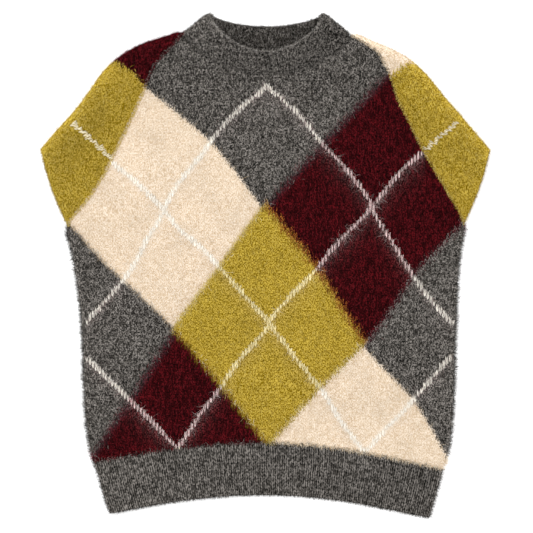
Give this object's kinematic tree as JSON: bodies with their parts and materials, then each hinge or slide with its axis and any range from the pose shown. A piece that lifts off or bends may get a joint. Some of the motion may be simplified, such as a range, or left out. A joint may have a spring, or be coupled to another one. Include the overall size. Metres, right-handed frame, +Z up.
{
  "type": "knitted sweater vest, laid flat",
  "caption": "Brushed-knit argyle sweater vest with cap sleeves, a mock neck and a ribbed hem, lying flat front side up.",
  "frame": {"origin": "on the surface that the garment lies on, under the middle of its outline", "axes": "+X to the wearer's left, +Y from the hem to the neck, +Z up from the surface, through the back panel and then the front panel"},
  "size_m": [0.608, 0.6812, 0.0112],
  "materials": {
    "argyle_knit": "brushed plain knit in grey, cream, maroon and mustard argyle blocks with a fine ivory overlay line",
    "sleeve_knit": "brushed plain knit, maroon or cream above and mustard below",
    "rib_knit": "brushed rib knit in melange grey"
  },
  "bodies": {
    "root": {"front_panel": "argyle_knit", "back_panel": "argyle_knit", "sleeve_right": "sleeve_knit", "sleeve_left": "sleeve_knit", "hem_rib_front": "rib_knit", "hem_rib_back": "rib_knit", "collar": "rib_knit"}
  },
  "joints": []
}
